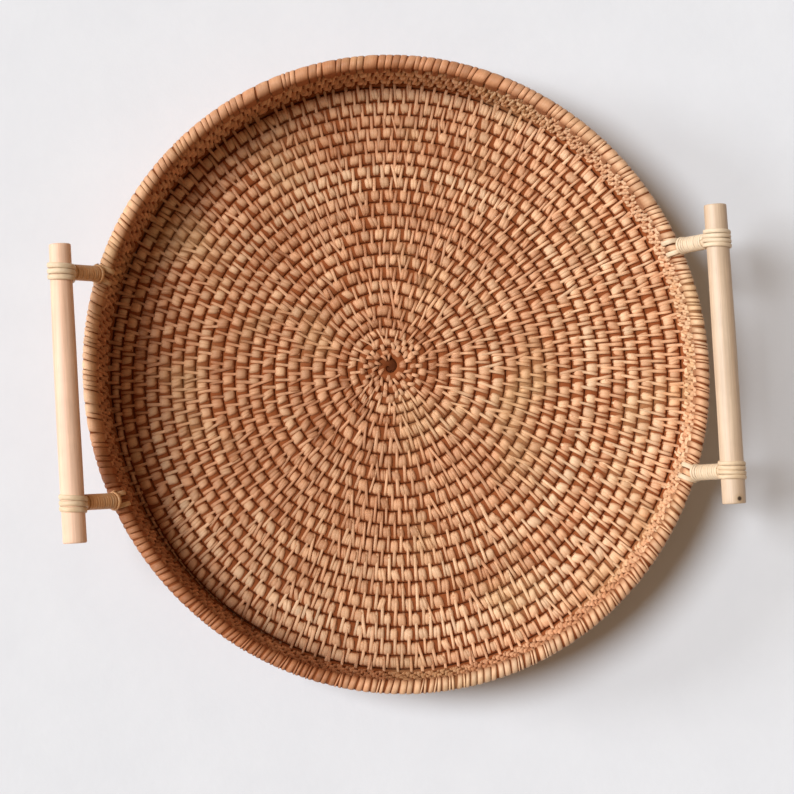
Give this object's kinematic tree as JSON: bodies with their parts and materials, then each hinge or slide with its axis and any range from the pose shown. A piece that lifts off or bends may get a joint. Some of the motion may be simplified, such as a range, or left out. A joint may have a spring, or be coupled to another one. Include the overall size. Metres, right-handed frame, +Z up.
{
  "type": "serving tray",
  "caption": "Round coiled rattan serving tray with a low upright side, a bound rim and a straight stick handle lashed on posts at each side.",
  "frame": {"origin": "middle of the underside of the base, on the surface that the tray stands on", "axes": "+Z up, out of the tray's open top; +X from the left handle to the right handle; +Y to the back"},
  "size_m": [0.315, 0.3, 0.0665],
  "materials": {
    "cane_strip": "satin peach-tan split cane, lightly varnished, varying from beige to reddish brown",
    "cane_core": "matt round rattan core",
    "handle_wood": "satin pale straight-grained wood",
    "lashing_cane": "satin cream cane"
  },
  "bodies": {
    "root": {"base_core_inner": "cane_core", "base_core_middle": "cane_core", "base_core_outer": "cane_core", "base_stitching": "cane_strip", "side_core_1": "cane_core", "side_core_2": "cane_core", "side_core_3": "cane_core", "side_core_4": "cane_core", "side_stitching": "cane_strip", "rim_hoop": "cane_core", "rim_binding": "cane_strip", "left_handle_stick": "handle_wood", "right_handle_stick": "handle_wood", "left_back_post": "cane_core", "left_front_post": "cane_core", "right_back_post": "cane_core", "right_front_post": "cane_core", "left_back_post_winding": "lashing_cane", "left_front_post_winding": "lashing_cane", "right_back_post_winding": "lashing_cane", "right_front_post_winding": "lashing_cane", "left_back_stick_lashing": "lashing_cane", "left_front_stick_lashing": "lashing_cane", "right_back_stick_lashing": "lashing_cane", "right_front_stick_lashing": "lashing_cane", "left_back_rim_tie_a": "lashing_cane", "left_back_rim_tie_b": "lashing_cane", "left_front_rim_tie_a": "lashing_cane", "left_front_rim_tie_b": "lashing_cane", "right_back_rim_tie_a": "lashing_cane", "right_back_rim_tie_b": "lashing_cane", "right_front_rim_tie_a": "lashing_cane", "right_front_rim_tie_b": "lashing_cane"}
  },
  "joints": []
}
